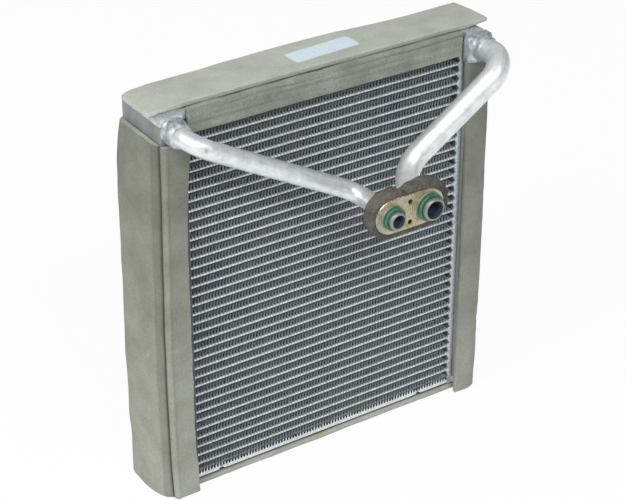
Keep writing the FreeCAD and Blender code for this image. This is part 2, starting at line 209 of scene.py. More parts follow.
def sized(where, size, detail=4, rough=0.6):
    """Inputs of a noise whose widest features have a size in millimetres."""
    return {"Vector": where, "Scale": 1 / (size * MM), "Detail": detail, "Roughness": rough}


def new_material(name, coordinates="Object"):
    """An empty material, its function that adds a node and the coordinates of its patterns."""
    material = bpy.data.materials.new(name)
    material.use_nodes = True
    material.node_tree.nodes.clear()
    add = partial(add_node, material.node_tree)
    return material, add, add("TexCoord", {}).outputs[coordinates]


def finish(material, add, colour, rough, bumps, metal=0.0, specular=0.5):
    """Closes a material with one shader. Bumps are (pattern, height in millimetres, strength), each
    laid over the one before."""
    under = {}
    for pattern, height, strength in bumps:
        bump = {"Height": pattern, "Distance": height * MM, "Strength": strength}
        under = {"Normal": add("Bump", bump | under)}
    shader = add("BsdfPrincipled", {"Base Color": colour, "Roughness": rough, "Metallic": metal,
                                    "Specular IOR Level": specular} | under)
    add("OutputMaterial", {"Surface": shader})
    return material


# %% [markdown]
# ### Die-cut seal foam
#
# Closed-cell rubber foam, cut from sheet. Light sinks in a little and comes back soft, so it is
# rough with no shine, half-millimetre cells give it a fine grain, and handling leaves pale and dark
# clouds. The strip round the block is open-celled, so it is darker and coarse.

# %% Foam material
FOAM_TOP = 0.285


def die_cut_foam(name, dark, middle, light, top_shade_tint="#FFFFFF", cell=0.45, depth=0.12, grain=0.45):
    """Rough foam: clouds from wide noise, speckle from fine noise, pits from cells. A tint
    multiplies the colour towards the top, painted shade that leaves the lower part lighter, and a
    point
    attribute mixes in a dark colour: painted shade in grooves, creases and shadows."""
    material, add, where = new_material(name)
    cloudy = add("ValToRGB", {"Fac": add("TexNoise", sized(where, 26))},
                 [(0.3, dark), (0.5, middle), (0.72, light)])
    speckle = add("TexNoise", sized(where, 1.5, 5, 0.75))
    grainy = add("ValToRGB", {"Fac": speckle},
                 [(0.3, "#A0A29E"), (0.5, "#DCDDDA"), (0.68, "#FFFFFF")])
    skin = add("Mix", {0: grain, 6: cloudy, 7: grainy}, **MULTIPLIED)
    # Painted shade: with height the colour is multiplied towards the top tint, darker high up and
    # lighter low down
    height = add("SeparateXYZ", {0: where}).outputs["Z"]
    share = add("MapRange", {"Value": height, "From Max": FOAM_TOP})
    painted_top_shade = add("ValToRGB", {"Fac": share}, [(0.05, "#FFFFFF"), (1.0, top_shade_tint)])
    clean = add("Mix", {0: 1.0, 6: skin, 7: painted_top_shade}, **MULTIPLIED)
    # Painted shade from the darkness attribute: grooves, creases and the channel's shadow on the
    # bottom foam go dark
    shade_and_scars = add("Attribute", {}, attribute_name="shade_and_scars").outputs["Fac"]
    colour = add("Mix", {0: shade_and_scars, 6: clean, 7: "#45463F"}, **BLENDED)
    cells = add("TexVoronoi", {"Vector": where, "Scale": 1 / (cell * MM)})
    return finish(material, add, colour, 0.95, [(cells, depth, 0.6), (speckle, 0.3, 0.5)],
                  specular=0.25)


# The side foam's last colour is its painted top shade
side_foam_skin = die_cut_foam("die_cut_side_foam", "#989A90", "#A6A89E", "#B2B4AB", "#C6C7C2")
strip_foam_skin = die_cut_foam("creased_strip_foam", "#888C85", "#999D94", "#A8ACA3", grain=0.6)
cut_foam_skin = die_cut_foam("cut_foam_face", "#A3A59C", "#B2B4AB", "#C0C2B9")
top_foam_skin = die_cut_foam("die_cut_top_foam", "#B2B7AD", "#BDC2B9", "#C6CBC3", grain=0.35)
base_foam_skin = die_cut_foam("die_cut_base_foam", "#A9ADA2", "#B6BAAF", "#C2C5BC")
wrap_foam_skin = die_cut_foam("open_cell_wrap_foam", "#504E49", "#696761", "#83817A", cell=1.3,
                              depth=0.7, grain=0.95)
print("foams:", side_foam_skin.name, top_foam_skin.name, wrap_foam_skin.name)

# %% [markdown]
# ### Aluminium
#
# The furnace that brazes the core leaves a dull grey skin of flux, blotchy and rough: thin on the
# tubes, where solder stands in beads, and thick on tanks and header plates. Caps and collars are
# lumpy with solder. The fins are coated so that water runs off; their darkness deep in the core,
# close under each tube and on the lower side of each fold is painted shade. The drawn pipes stay
# bright, with faint streaks along them.

# %% Brazed aluminium
def brazed_aluminium(name, dark, light, rough, blotch=3.0, depth=0.08, stretch=(1, 1, 1), beads=0.0,
                     metal=0.85):
    """A wide and a fine noise drive tint, roughness and lumps. Beads is the spacing of solder beads
    along X, and metal the share of bare metal in the skin of flux."""
    material, add, where = new_material(name)
    laid = add("Mapping", {"Vector": where, "Scale": tuple(1 / s for s in stretch)})
    wide = add("TexNoise", sized(laid, blotch, 5, 0.65))
    fine = add("TexNoise", sized(where, 0.8, 4, 0.7))
    colour = add("ValToRGB", {"Fac": wide}, [(0.32, dark), (0.68, light)])
    if beads:
        # The beads are paler solder, and their brightness is also painted highlight, the light their
        # small bumps catch
        wave = add("TexWave", {"Vector": where, "Scale": math.pi / (10 * beads * MM),
                               "Distortion": 2.5, "Detail": 2, "Detail Scale": 3.0})
        beaded = add("ValToRGB", {"Fac": wave.outputs["Fac"]},
                     [(0.2, "#B2B6B8"), (0.7, "#FFFFFF")])
        colour = add("Mix", {0: 0.65, 6: colour, 7: beaded}, **MULTIPLIED)
    dull = add("MapRange", {"Value": wide, "To Min": rough + 0.1, "To Max": rough - 0.1})
    return finish(material, add, colour, dull, [(wide, depth * 3, 0.5), (fine, depth, 0.6)], metal)


tube_skin = brazed_aluminium("brazed_tube_aluminium", "#CDD4D8", "#FAFCFD", 0.5, beads=2.4,
                             metal=0.6)
tank_skin = brazed_aluminium("brazed_tank_aluminium", "#7E8080", "#949695", 0.7, 9, 0.06, (1, 1, 2),
                             metal=0.3)
header_skin = brazed_aluminium("brazed_header_aluminium", "#5F6669", "#858D90", 0.65, metal=0.5)
# Only a sliver of the left header plate shows, in the shadow of the foam's edge
shaded_skin = brazed_aluminium("shaded_header_aluminium", "#4A5256", "#687175", 0.75, metal=0.3)
cap_skin = brazed_aluminium("brazed_cap_aluminium", "#AEB6B9", "#E4EAEC", 0.5, 4, 0.2)
# The channel's flange is washed with solder, so it is the palest part of the front
channel_skin = brazed_aluminium("brazed_channel_aluminium", "#CDD6D6", "#F2F7F7", 0.55, depth=0.05,
                                metal=0.4)
bead_skin = brazed_aluminium("braze_bead_aluminium", "#B2BBBE", "#E2E8EA", 0.6, 2, 0.25)
socket_skin = brazed_aluminium("brazed_socket_aluminium", "#858F94", "#E2E9EC", 0.62, 2.8, 0.16,
                               (1, 1, 2.5))
# The bores are smooth, and look darker and bluer than the outside
bore_skin = brazed_aluminium("drawn_bore_aluminium", "#67798A", "#A3B8C6", 0.35, 6, metal=0.8)
print("brazed:", tube_skin.name, tank_skin.name, bead_skin.name, socket_skin.name)


# %% Drawn aluminium
# Y over which the darker stub goes over to the bright shaft
STUB_DARK_END, SHAFT_BRIGHT = -88, -86


def drawn_aluminium(name, dark, light, rough):
    """Noise stretched 30 times along the tube gives the die lines, and stains drift over it. The stub
    in front of the block is a darker grey."""
    material, add, along = new_material(name, "UV")
    drawn = add("Mapping", {"Vector": along, "Scale": (1, 1 / 30, 1)})
    lines = add("TexNoise", sized(drawn, 0.9))
    stains = add("TexNoise", sized(along, 8, 5, 0.65))
    clean = add("ValToRGB", {"Fac": stains}, [(0.3, dark), (0.6, light)])
    shade = add("ValToRGB", {"Fac": lines}, [(0.35, "#C8CBCC"), (0.6, "#FFFFFF")])
    bright = add("Mix", {0: 0.35, 6: clean, 7: shade}, **MULTIPLIED)
    place = add("SeparateXYZ", {0: add("TexCoord", {}).outputs["Object"]}).outputs["Y"]
    shaft = add("MapRange", {"Value": place, "From Min": STUB_DARK_END * MM,
                             "From Max": SHAFT_BRIGHT * MM})
    clean = add("Mix", {0: shaft, 6: "#8E9694", 7: bright}, **BLENDED)
    shade_and_scars = add("Attribute", {}, attribute_name="shade_and_scars").outputs["Fac"]
    colour = add("Mix", {0: shade_and_scars, 6: clean, 7: "#596063"}, **BLENDED)
    dull = add("MapRange", {"Value": stains, "To Min": rough + 0.12, "To Max": rough - 0.1})
    return finish(material, add, colour, dull, [(lines, 0.05, 0.5), (stains, 0.5, 0.35)], 0.7)


pipe_skin = drawn_aluminium("drawn_pipe_aluminium", "#D6DDE0", "#F8FBFC", 0.42)
print("drawn:", pipe_skin.name)


# %% Fin sheet and its cut edge
PITCH = 7.0
FIRST_TUBE_Z = 16.0
# Depth in the core, and height over a tube, between which a fin goes from light to dark
DARK_DEPTH = (19.4, 17.6)
DARK_HEIGHT = (4.4, 6.0)


def fin_sheet(name, stops, rough, metal):
    """Fin stock: the tint drifts in wide clouds, the louvres are fine ribs, and it is darker inside
    the core and close under the next tube, where no light comes."""
    material, add, where = new_material(name)
    place = add("SeparateXYZ", {0: where})
    out = add("Math", {0: place.outputs["Y"]}, operation="ABSOLUTE")
    above = add("Math", {0: place.outputs["Z"], 1: FIRST_TUBE_Z * MM}, operation="SUBTRACT")
    phase = add("Math", {0: above, 1: PITCH * MM}, operation="FLOORED_MODULO")
    inside, under = [add("MapRange", {"Value": value, "From Min": light * MM, "From Max": dark * MM,
                                      "To Max": most})
                     for value, (light, dark), most in ((out, DARK_DEPTH, 0.75),
                                                        (phase, DARK_HEIGHT, 0.85))]
    dim = add("Math", {0: inside, 1: under}, operation="MAXIMUM")
    tinted = add("ValToRGB", {"Fac": add("TexNoise", sized(where, 30))}, stops)
    colour = add("Mix", {0: dim, 6: tinted, 7: "#15191C"}, **BLENDED)
    louvre = add("TexWave", {"Vector": where, "Scale": math.pi / (12 * MM)}, bands_direction="Y")
    return finish(material, add, colour, rough, [(louvre.outputs["Fac"], 0.2, 0.5)], metal)


# The upper side of the fin stock gets light colours as painted light and the lower side dark ones as
# painted shade; both are the same coated sheet
fin_lit_side_skin = fin_sheet("coated_fin_painted_lit_side", [
    (0.30, "#A6ACC0"), (0.43, "#C2CCD2"), (0.54, "#B3BDB2"), (0.64, "#B0B8C8"), (0.75, "#BDBBAF")],
    0.6, 0.3)
fin_shade_side_skin = fin_sheet("coated_fin_painted_shade_side", [(0.3, "#40474D"), (0.7, "#565E63")], 0.7, 0.3)
fin_edge_skin = fin_sheet("cut_fin_edge", [(0.3, "#98A1A5"), (0.7, "#BCC5C9")], 0.5, 0.6)
fin_skins = [fin_lit_side_skin, fin_shade_side_skin, fin_edge_skin]
print("fins:", [skin.name for skin in fin_skins])

# %% [markdown]
# ## The core: tubes and fins
#
# Each fin is one aluminium ribbon, a tenth of a millimetre thick, folded to and fro 87 times between
# two tubes. No two folds of a real one are quite alike, so each ribbon is a closed surface of its own
# and not an array: a wavy line with a thickness and a depth, and another lean at every fold. Solder
# makes it thicker where a fold meets a tube. The upper side of the sheet has a light colour as
# painted light and the lower side a dark one as painted shade, so from the left every second leg
# shows light.

# %% Sizes of the core
FACE_X = 105.5
TUBE_END_X = 107.3
CORE_HALF = 20.0
TUBE_HEIGHT = 1.8
FIN_HEIGHT = PITCH - TUBE_HEIGHT
TUBES = 38
WAVES = 87
FIN_LEFT, FIN_RIGHT = -105.0, 101.2
FOLD_LENGTH = (FIN_RIGHT - FIN_LEFT) / WAVES
FIN_FRONT = 19.7
SHEET = 0.13

# %% Shape of a fin
# One fold as (share of the fold, share of the height): flat bends at both ends, leaning legs
FOLD = np.array([(0.00, 0.02), (0.08, 0.10), (0.20, 0.40), (0.40, 0.88), (0.47, 1.0),
                 (0.55, 1.0), (0.62, 0.88), (0.80, 0.40), (0.93, 0.10)])
# Places where a finger or a tool has bent the front of the fins, across and up
BENT = [(-98.1, 222.8), (41.2, 264.0), (50.2, 65.8), (2.8, 49.4)]
BENT_WIDTH = 2.5


def fin_ribbon(z, seed):
    """Closed ribbon on height z: the fold repeated as a middle line, each bend moved a little at
    random, and two skins half a thickness off along its normal."""
    rng = np.random.default_rng(seed)
    place = np.arange(WAVES)[:, None] + FOLD[:, 0]
    height = np.tile(FOLD[:, 1], WAVES)
    pool = hump(height, 0, 0.12) * rng.uniform(0.15, 0.5, WAVES).repeat(len(FOLD))
    pool += hump(height, 1, 0.08) * rng.uniform(0.05, 0.3, WAVES).repeat(len(FOLD))
    half = (SHEET + pool) / 2
    x = FIN_LEFT + place.ravel() * FOLD_LENGTH
    bends = rng.normal(0, 0.10, (WAVES + 1, 2))
    nearest = np.minimum((place + 0.25).astype(int), WAVES).ravel()
    x = x + bends[nearest, 0] * (1 - height) + bends[nearest, 1] * height
    for bent_x, bent_z in BENT:
        push = hump(x, bent_x, BENT_WIDTH) * np.sin(np.pi * height) * rng.uniform(0.5, 1.1)
        x = x + push * (z < bent_z < z + PITCH)
    x[0], x[-1] = FIN_LEFT, FIN_RIGHT
    middle = np.stack([x, z + height * (FIN_HEIGHT - SHEET) + half], 1)
    slope = np.gradient(middle, axis=0)
    slope /= np.linalg.norm(slope, axis=1)[:, None]
    off = np.stack([-slope[:, 1], slope[:, 0]], 1) * half[:, None]
    upper, lower = middle + off, middle - off
    lower[:, 1] = np.maximum(lower[:, 1], z)
    upper[:, 1] = np.minimum(upper[:, 1], z + FIN_HEIGHT)
    rings = [(upper, -FIN_FRONT), (upper, FIN_FRONT), (lower, FIN_FRONT), (lower, -FIN_FRONT)]
    return np.stack([joined(line[:, 0], y, line[:, 1]) for line, y in rings], 1).reshape(-1, 3)


def fin_faces(start):
    """Faces of a ribbon whose points start at a number, and the material of each: 1 on the upper
    side, 2 on the lower side and 3 on the cut edges."""
    stations = WAVES * len(FOLD)
    quads = grid_faces(stations, 4)
    kinds = np.tile([1, 3, 2, 3], stations - 1)
    return np.concatenate([quads, end_faces(stations, 4)]) + start, np.append(kinds, [3, 3])


# %% Shape of a tube
def flat_tube(z):
    """Tube at height z as two rings, at its left and right end, with half-round edges."""
    radius = TUBE_HEIGHT / 2
    turn = np.linspace(-np.pi / 2, np.pi / 2, 9)
    back = np.stack([CORE_HALF - radius + radius * np.cos(turn), radius * np.sin(turn)], 1)
    y, up = np.concatenate([back, back[::-1] * [-1, 1]]).T
    return joined([[-TUBE_END_X], [TUBE_END_X]], y, up + z).reshape(-1, 3)


def core_row(number):
    """One tube with the fin on its top, as one piece that stands for its solid."""
    z = FIRST_TUBE_Z + number * PITCH
    tube = flat_tube(z)
    columns = len(tube) // 2
    sides = grid_faces(2, columns)
    fins, kinds = fin_faces(len(tube))
    points = np.concatenate([tube, fin_ribbon(z + TUBE_HEIGHT / 2, 100 + number)])
    return add_piece("row_%02d" % (number + 1), points,
                     [np.concatenate([sides, fins]), end_faces(2, columns)], [tube_skin, *fin_skins],
                     "tube_and_fin_%02d" % (number + 1),
                     np.concatenate([np.zeros(len(sides)), kinds, [0, 0]]), angle=40)


rows = [core_row(number) for number in range(TUBES)]
report(rows[0], rows[-1])

# %% [markdown]
# ## The side plate under the core
#
# A channel closes the core at the bottom and carries the lowest fin. Its flange is the bright band
# along the bottom of the front. Each foot of the fin leaves a tooth of solder on its upper edge, and
# two knocks have dented its lower edge.

# %% Bottom channel with the lowest fin
CHANNEL_TOP, CHANNEL_LOW, CHANNEL_WALL = 9.9, 5.0, 1.5
KNOCKS = [(-86.3, 1.3), (79.9, 1.3)]


def bottom_row():
    """Nine corners carried along X, with a fin ribbon on the web. The front edge falls away between
    teeth at the spacing of the folds, and its lower corner is pushed in at the knocks."""
    half, inner, under = CORE_HALF, CORE_HALF - CHANNEL_WALL, CHANNEL_TOP - CHANNEL_WALL
    section = np.array([(-half, CHANNEL_LOW), (-half, CHANNEL_TOP), (-half + 0.9, CHANNEL_TOP),
                        (half, CHANNEL_TOP), (half, CHANNEL_LOW), (inner, CHANNEL_LOW),
                        (inner, under), (-inner, under), (-inner, CHANNEL_LOW)])
    x = np.linspace(-FACE_X, FACE_X, 900)
    grid = joined(x[:, None], *section.T)
    tooth = (0.5 + 0.5 * np.cos(2 * np.pi * (x - FIN_LEFT) / FOLD_LENGTH)) ** 3
    tooth = tooth * (1 + 0.35 * ripple(x, 0, 15, 9))
    grid[:, 1, 2] += 2.9 * tooth - 2.4
    grid[:, 2, 2] += 1.1 * tooth
    for middle, width in KNOCKS:
        grid[:, 0, 1] += 1.0 * hump(x, middle, width)
        grid[:, 0, 2] += 1.4 * hump(x, middle, width)
    ends = np.array([[0, 1, 7, 8], [1, 2, 7, 7], [2, 3, 6, 7], [3, 4, 5, 6]])
    ends = np.concatenate([ends, ends[:, ::-1] + 9 * (len(x) - 1)])
    fins, kinds = fin_faces(9 * len(x))
    # The web in front of the fin lies in shadow, so it takes the dark side's material
    channel = np.append(np.tile([0, 2, 0, 0, 0, 0, 0, 0, 0], len(x) - 1), np.zeros(len(ends)))
    points = np.concatenate([grid.reshape(-1, 3), fin_ribbon(CHANNEL_TOP, 99)])
    return add_piece("bottom_row", points,
                     [np.concatenate([grid_faces(len(x), 9), ends, fins])],
                     [channel_skin, *fin_skins], "bottom_side_plate",
                     np.append(channel, kinds), angle=40)


report(bottom_row())

# %% [markdown]
# ## Solder along the header plates
#
# Where the tubes end in the right header plate, solder has run down its front lip in a pale
# scalloped line, fuller at each tube. On the left the side foam hides the lip.

# %% Solder line
LIP_Y = 21.2
SOLDER_EDGE_X = 108.8
SOLDER_LOW, SOLDER_HIGH, SOLDER_STEP = 11.0, 278.6, 0.7


def solder_line():
    """Closed strip up the lip: a flat arch between a straight outer edge and an inner edge that
    swells towards each tube."""
    z = np.arange(SOLDER_LOW, SOLDER_HIGH, SOLDER_STEP)[:, None]
    near = ((z - FIRST_TUBE_Z + PITCH / 2) % PITCH) - PITCH / 2
    full = hump(near, 0, 1.9) * (1 + 0.25 * ripple(z, 0, 17, 20))
    inner = FACE_X + 0.1 - 1.1 * full + 0.2 * ripple(z, 0, 19, 3)
    outer = SOLDER_EDGE_X + 0.15 * ripple(z, 0, 20, 6)
    share = np.linspace(0, 1, 8)
    x = inner + (outer - inner) * share
    y = -(LIP_Y + 0.05 + (0.35 + 0.35 * full) * np.sin(np.pi * share) ** 0.6)
    back = np.where(x < FACE_X, -CORE_HALF + 0.3, -LIP_Y + 0.2)
    points = np.concatenate([joined(x, y, z), joined(x, back, z)[:, ::-1]], 1)
    size = points.shape[:2]
    return add_piece("right_solder_line", points, [grid_faces(*size), end_faces(*size)], [bead_skin],
                     None, angle=60)


report(solder_line())

# %% [markdown]
# ## Pipes
#
# Each pipe is a straight tube bent twice on a former: a circle carried along the centre line, whose
# radius follows the bead, the groove of the sealing ring and the chamfer at the tip, and comes back
# inside as the bore. Knocks have left flats on the upper bends, tenths of a millimetre deep.

# %% Centre line with bends
STEP, FINE_STEP = 1.1, 0.2


def unit(vector):
    """A vector divided by its own length."""
    return vector / np.linalg.norm(vector)


def bent_line(corners, radii):
    """Points and directions along straight runs joined by arcs. Each arc starts radius * tan(half
    the turn) before its corner, in the plane of the two runs."""
    corners = np.array(corners, float)
    points, ways = [], []
    here = corners[0]
    for before, corner, after, radius in zip(corners, corners[1:], corners[2:], radii):
        into, out = unit(corner - before), unit(after - corner)
        turn = math.acos(np.clip(into @ out, -1, 1))
        start = corner - into * radius * math.tan(turn / 2)
        count = max(2, int(np.linalg.norm(start - here) / STEP))
        share = np.linspace(0, 1, count, endpoint=False)[:, None]
        points.append(here + (start - here) * share)
        ways.append(np.repeat(into[None], count, 0))
        inward = unit(out - into * (into @ out))
        count = max(8, int(radius * turn / STEP * 2))
        angle = np.linspace(0, turn, count, endpoint=False)[:, None]
        points.append(start + radius * (into * np.sin(angle) + inward * (1 - np.cos(angle))))
        ways.append(into * np.cos(angle) + inward * np.sin(angle))
        here = corner + out * radius * math.tan(turn / 2)
    count = max(2, int(np.linalg.norm(corners[-1] - here) / FINE_STEP))
    points.append(here + (corners[-1] - here) * np.linspace(0, 1, count)[:, None])
    ways.append(np.repeat(out[None], count, 0))
    return np.concatenate(points), np.concatenate(ways)


def carried_frames(ways):
    """Two normals at each point of a line, turned from one direction to the next with no twist."""
    side = unit(np.cross(ways[0], [0, 0, 1.0]))
    sides = []
    for way in ways:
        side = unit(side - way * (side @ way))
        sides.append(side)
    return np.array(sides), np.cross(ways, sides)


# %% Pipe surface
AROUND = 56
PORT_FACE = -94.0
BEAD_BACK, BEAD_FRONT, BEAD_HEIGHT = -86.6, -88.4, 2.1
GROOVE_FRONT, GROOVE_DEPTH = -91.0, 0.75
TIP_CHAMFER = 0.85


def pipe_piece(name, node, corners, radii, radius, bore, dents):
    """Grid of stations by angles. The radius follows bead, groove and chamfer near the tip, the bore
    comes back along the same line, and dents pull the wall in."""
    line, ways = bent_line(corners, radii)
    sides, ups = carried_frames(ways)
    length = np.concatenate([[0], np.cumsum(np.linalg.norm(np.diff(line, axis=0), axis=1))])
    y = np.where(np.arange(len(line)) > len(line) * 0.5, line[:, 1], 0.0)
    outer = np.full(len(line), radius)
    outer[(y <= BEAD_BACK) & (y >= BEAD_FRONT)] = radius + BEAD_HEIGHT
    outer[(y < BEAD_FRONT) & (y >= GROOVE_FRONT)] = radius - GROOVE_DEPTH
    tip = PORT_FACE + TIP_CHAMFER
    outer = np.where(y < tip, radius - (tip - y), outer)
    turn = circle(AROUND)[None, :, None]
    spokes = np.cos(turn) * sides[:, None] + np.sin(turn) * ups[:, None]
    wall = line[:, None] + spokes * outer[:, None, None]
    scars = np.zeros((2 * len(line), AROUND))
    for place, size, deep in dents:
        away = np.linalg.norm(wall - np.array(place, float), axis=2, keepdims=True)
        wall = wall - spokes * deep * hump(away, 0, size)
        scars[:len(line)] += 0.5 * hump(away[..., 0], 0, size * 0.4)
    points = np.concatenate([wall, (line[:, None] + spokes * bore)[::-1]])
    uv = joined(np.arange(AROUND) * 2 * np.pi * radius / AROUND,
                np.append(length, length[::-1])[:, None])
    return add_piece(name, points, [grid_faces(len(points), AROUND, closed=True)],
                     [pipe_skin, bore_skin], node,
                     np.repeat([0, 1], len(line) * AROUND), 38, uv, np.clip(scars, 0, 0.8))


# %% The two pipes
PORT_Z = 205.5
INLET_X, OUTLET_X = 5.5, 33.8
INLET_R, OUTLET_R = 6.35, 7.94
INLET_SEAT, OUTLET_SEAT = (-115.8, 274.0), (116.5, 275.1)
inlet_corners = [(-115.8, -24.5, 274), (-115.8, -48.5, 274), (INLET_X, -45.2, PORT_Z),
                 (INLET_X, PORT_FACE, PORT_Z)]
outlet_corners = [(116.5, -24.5, 275.1), (116.5, -58.6, 275.1), (OUTLET_X, -46.0, PORT_Z),
                  (OUTLET_X, PORT_FACE, PORT_Z)]
# Knocks as a place on the wall, how wide and how deep
inlet_dents = [((-78.5, -51.5, 253.1), 3.0, 0.5), ((-74.2, -51.5, 250.4), 2.4, 0.5),
               ((-69.2, -51.5, 247.6), 3.0, 0.4), ((-109.3, -53, 270.7), 3.5, 0.5),
               ((-102.4, -53, 266.8), 3.0, 0.4)]
outlet_dents = [((92.4, -62, 268.7), 4.0, 0.6), ((79.0, -60, 259.3), 3.0, 0.5),
                ((73.4, -60, 257.1), 3.5, 0.4)]
report(pipe_piece("inlet_pipe_bent", "inlet_pipe", inlet_corners, [14.9, 13.3], INLET_R, 4.6,
                  inlet_dents),
       pipe_piece("outlet_pipe_bent", "outlet_pipe", outlet_corners, [15.1, 23.2], OUTLET_R, 6.25,
                  outlet_dents))

# %% [markdown]
# ## Sockets
#
# A pipe enters its tank through a brazed collar: a short tube on the left, and on the right one that
# grows out of a rounded block. Both are rings carried along Y from the tank outwards, and a small
# uneven field gives them the lumps of the solder.

# %% Socket surfaces
SOCKET_TURNS = 96
SOCKET_R = 8.8


def socket_piece(name, node, seat, profile, bore, seed, box=None):
    """Closed tube round a seat (x, z), from a list of y and one of radii. With a box the rings follow
    a rounded rectangle of that reach (left, right, down, up) until one y, and have blended to the
    circle by another."""
    turn = circle(SOCKET_TURNS)
    cos, sin = np.cos(turn), np.sin(turn)
    y, radius = np.array(profile, float)[..., None]
    reach = radius + 0 * turn
    if box:
        (left, right, down, up), until, round_by = box
        across, tall = np.where(cos < 0, left, right), np.where(sin < 0, down, up)
        square = (np.abs(cos / across) ** 6 + np.abs(sin / tall) ** 6) ** (-1 / 6)
        share = np.clip((y - round_by) / (until - round_by), 0, 1)
        reach = reach + (square - reach) * share * share * (3 - 2 * share)
    arc = turn * SOCKET_R
    lumps = 0.16 * ripple(arc, y, seed, 4.5) + 0.1 * ripple(arc, y, seed + 1, 1.8)
    reach = reach + lumps * (np.arange(len(y)) < len(y) - 2)[:, None]
    points = np.concatenate([joined(seat[0] + reach * cos, y, seat[1] + reach * sin),
                             joined(seat[0] + bore * cos, y[[-1, 0]], seat[1] + bore * sin)])
    return add_piece(name, points, [grid_faces(len(points), SOCKET_TURNS, closed=True)],
                     [socket_skin], node, angle=50)


left_profile = [[-24.5, -25.0, -25.6, -26.4, -27.3, -28.2, -29.1, -30.0, -31.0, -32.2, -33.2, -34.0,
                 -34.5, -34.7],
                [9.4, 9.1, 8.85, 8.8, 8.75, 8.8, 8.75, 8.75, 8.7, 8.6, 8.35, 7.9, 7.2, 6.42]]
right_profile = [[-24.5, -25.5, -26.5, -27.5, -28.5, -29.4, -30.0, -30.6, -31.2, -32.0, -33.0, -34.0,
                  -35.0, -36.0, -36.8, -37.3, -37.5],
                 [8.94] * 9 + [9.0, 8.95, 8.9, 8.8, 8.6, 8.35, 8.1, 8.0]]
report(socket_piece("left_socket_brazed", "left_socket", INLET_SEAT, left_profile,
                    INLET_R + 0.05, 81),
       socket_piece("right_socket_brazed", "right_socket", OUTLET_SEAT, right_profile,
                    OUTLET_R + 0.05, 83, ((11.0, 8.94, 10.7, 8.94), -29.4, -32.2)))

# %% [markdown]
# ## Block, rings and label
#
# The block has a thin gold film from its bath, uneven in tint, over the rings of the cutter. The
# sealing rings are green rubber, a little oily. The label is plain white vinyl that shows the grain
# of the foam under it.

# %% Block, ring and label materials
def passivated_block():
    """Milled block: rings of the cutter round each port under a gold film that drifts from straw
    to pink, with grey patches where it is worn."""
    material, add, where = new_material("gold_passivated_aluminium")
    tint = add("TexNoise", sized(where, 9, 4, 0.65))
    wear = add("TexNoise", sized(where, 1.6, 4, 0.7))
    film = add("ValToRGB", {"Fac": tint}, [(0.32, "#A39468"), (0.45, "#C6BA93"), (0.56, "#D2C8B4"),
                                           (0.68, "#ADAFA0")])
    worn = add("ValToRGB", {"Fac": wear}, [(0.35, "#BDB9AF"), (0.62, "#FFFFFF")])
    colour = add("Mix", {0: 0.7, 6: film, 7: worn}, **MULTIPLIED)
    centred = [add("Mapping", {"Vector": where, "Location": (-x * MM, 0, -PORT_Z * MM)})
               for x in (INLET_X, OUTLET_X)]
    rings = [add("TexWave", {"Vector": place, "Scale": math.pi / (16 * MM), "Distortion": 0.6},
                 wave_type="RINGS", rings_direction="Y").outputs["Fac"] for place in centred]
    rough = add("MapRange", {"Value": wear, "To Min": 0.42, "To Max": 0.22})
    return finish(material, add, colour, rough, [(ring, 0.15, 0.8) for ring in rings], 0.85)


def smooth_skin(name, dark, light, rough, size, depth):
    """Plain moulded or printed skin: one noise drives its tint, its shine and its small waves."""
    material, add, where = new_material(name)
    film = add("TexNoise", sized(where, size, rough=0.5))
    colour = add("ValToRGB", {"Fac": film}, [(0.3, dark), (0.7, light)])
    shine = add("MapRange", {"Value": film, "To Min": rough - 0.1, "To Max": rough + 0.1})
    return finish(material, add, colour, shine, [(film, depth, 0.5)])


block_skin = passivated_block()
ring_skin = smooth_skin("moulded_green_rubber", "#205A41", "#41805F", 0.3, 1.6, 0.12)
label_skin = smooth_skin("white_vinyl_label", "#CDDFE8", "#DEECF3", 0.5, 1.8, 0.3)

# %% Finishes of the solids that stay
solid_skins = {"top_side_plate": tube_skin, "left_header_plate": shaded_skin,
               "right_header_plate": header_skin, "left_tank": tank_skin, "right_tank": tank_skin,
               "bottom_caps": cap_skin, "top_caps": cap_skin, "connection_block": block_skin}
for node, material in solid_skins.items():
    nodes[node].data.materials.clear()
    nodes[node].data.materials.append(material)
print("dressed solids:", ", ".join(solid_skins))

# %% Sealing rings
RING_Y = -89.6
RING_R = 1.2
RING_TURNS, RING_SIDES = 72, 20


def sealing_ring(pipe, x, pipe_radius):
    """Torus round the stub of a pipe: a small circle carried round a large one, in its groove."""
    around = circle(RING_TURNS)[:, None]
    small = circle(RING_SIDES)
    reach = pipe_radius + 0.5 + RING_R * np.cos(small)
    points = joined(x + reach * np.cos(around), RING_Y + RING_R * np.sin(small),
                    PORT_Z + reach * np.sin(around))
    return add_piece(pipe + "_sealing_ring", points,
                     [grid_faces(RING_TURNS, RING_SIDES, closed=True)], [ring_skin],
                     pipe + "_o_ring", angle=180)


report(sealing_ring("inlet", INLET_X, INLET_R), sealing_ring("outlet", OUTLET_X, OUTLET_R))

# %% [markdown]
# ## Foam sheets
#
# The foams are flat strips, so a cloth simulation has little to do: the eye sees how each sheet was
# folded, stuck down and handled. Each is a closed surface whose points are moved by measured bulges
# and small uneven waves.

# %% Flat sheets
def edge_lines(length, radius, step):
    """Places along one side of a sheet, closer together in the last millimetres at both ends."""
    near = np.array([0, 0.12, 0.35, 0.7, 1.2]) * radius
    inner = np.linspace(1.8 * radius, length - 1.8 * radius, max(3, int(length / step)))
    return np.concatenate([near, inner, length - near[::-1]])


